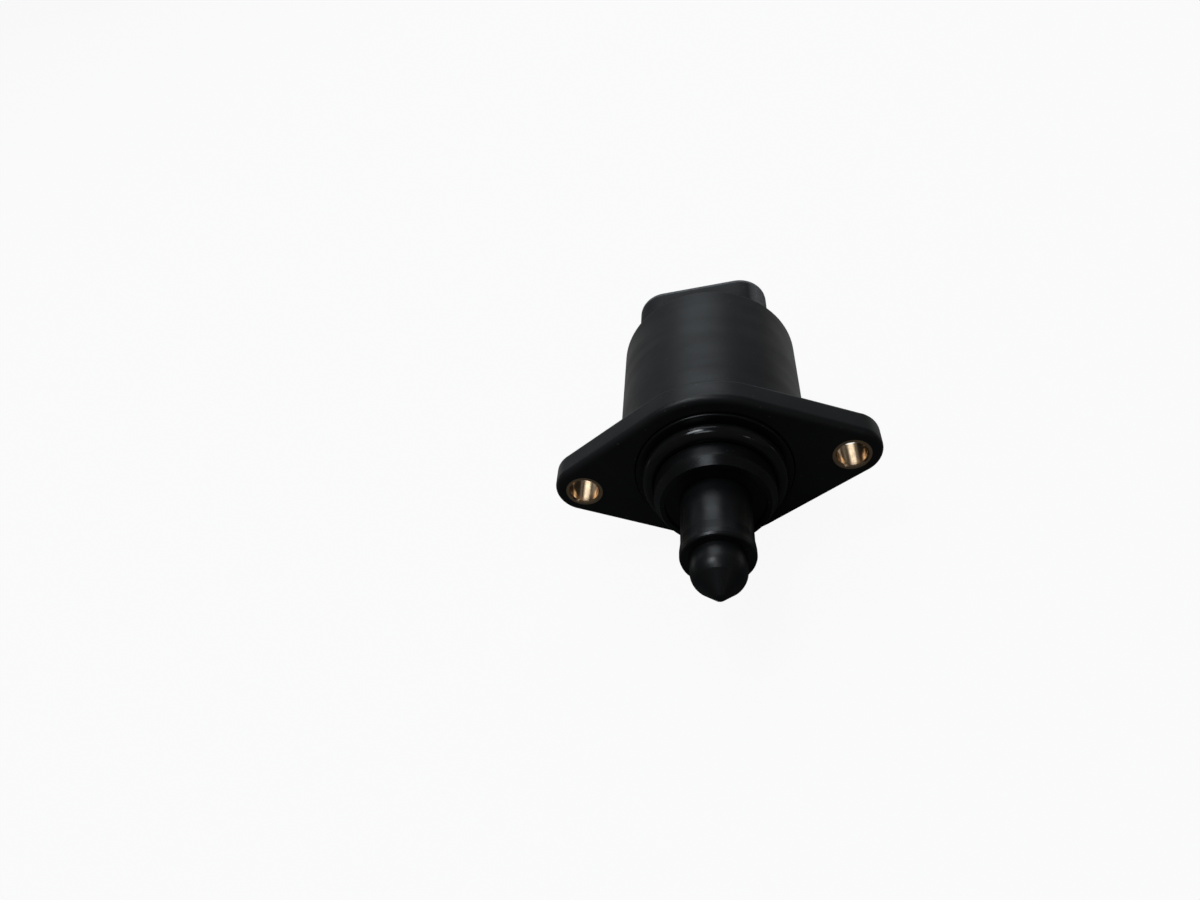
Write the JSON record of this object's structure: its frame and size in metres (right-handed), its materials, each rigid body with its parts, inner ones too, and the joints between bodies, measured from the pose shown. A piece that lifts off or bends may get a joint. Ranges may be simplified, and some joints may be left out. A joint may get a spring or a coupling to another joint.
{
  "type": "idle air control valve",
  "caption": "Two-hole flange stepper valve with an oval connector socket, an O-ring neck and a bullet-nosed pintle that a rotor screws in and out.",
  "frame": {"origin": "centre of the two-hole pattern on the flange face that meets the throttle body", "axes": "-Y along the pintle towards its tip, +Y to the connector, +X through the fixing holes, +Z to the side that carries the connector"},
  "size_m": [0.0612, 0.0754, 0.0358],
  "materials": {
    "housing_plastic": "satin moulded",
    "cap_plastic": "satin moulded",
    "guide_plastic": "satin moulded",
    "pintle_plastic": "matte moulded",
    "bush_brass": "turned",
    "seal_rubber": "glossy moulded",
    "pin_tin": "tinned",
    "screw_steel": "turned",
    "nut_bronze": "turned",
    "hub_plastic": "natural moulded",
    "magnet_ferrite": "sintered",
    "bearing_steel": "polished",
    "cage_brass": "pressed",
    "spring_steel": "blued",
    "plate_steel": "zinc plated",
    "bobbin_plastic": "natural moulded",
    "winding_copper": "enamelled wire"
  },
  "bodies": {
    "valve_body": {"housing": "housing_plastic", "left_bush": "bush_brass", "right_bush": "bush_brass", "terminal_pins": "pin_tin", "front_cap": "cap_plastic", "o_ring": "seal_rubber", "guide_bush": "guide_plastic", "bearing_outer_race": "bearing_steel", "spring_washer": "spring_steel", "front_plate": "plate_steel", "rear_plate": "plate_steel", "rear_bush": "nut_bronze", "front_stator_cup": "plate_steel", "front_pole_plate": "plate_steel", "front_bobbin": "bobbin_plastic", "front_winding": "winding_copper", "rear_stator_cup": "plate_steel", "rear_pole_plate": "plate_steel", "rear_bobbin": "bobbin_plastic", "rear_winding": "winding_copper"},
    "rotor": {"rotor_hub": "hub_plastic", "rotor_magnet": "magnet_ferrite", "thread_nut": "nut_bronze", "bearing_inner_race": "bearing_steel"},
    "ball_cage": {"bearing_balls": "bearing_steel", "bearing_cage": "cage_brass"},
    "pintle": {"pintle_stem": "pintle_plastic", "pintle_nose": "pintle_plastic", "lead_screw": "screw_steel"}
  },
  "joints": [
    {"name": "rotor_spin", "type": "hinge", "parent": "valve_body", "child": "rotor", "pos_m": [0, 0.02, 0], "axis": [0, -1, 0], "range_deg": [-360, 2880]},
    {"name": "bearing_cage_spin", "type": "hinge", "parent": "valve_body", "child": "ball_cage", "pos_m": [0, 0.0105, 0], "axis": [0, -1, 0], "range_deg": [-146, 1165]},
    {"name": "pintle_slide", "type": "slide", "parent": "valve_body", "child": "pintle", "axis": [0, -1, 0], "range_m": [-0.008, 0.001]}
  ],
  "couplings": [
    {"joint": "rotor_spin", "follows": "pintle_slide", "rad_per_m": -6283.2},
    {"joint": "bearing_cage_spin", "follows": "pintle_slide", "rad_per_m": -2539.5}
  ]
}
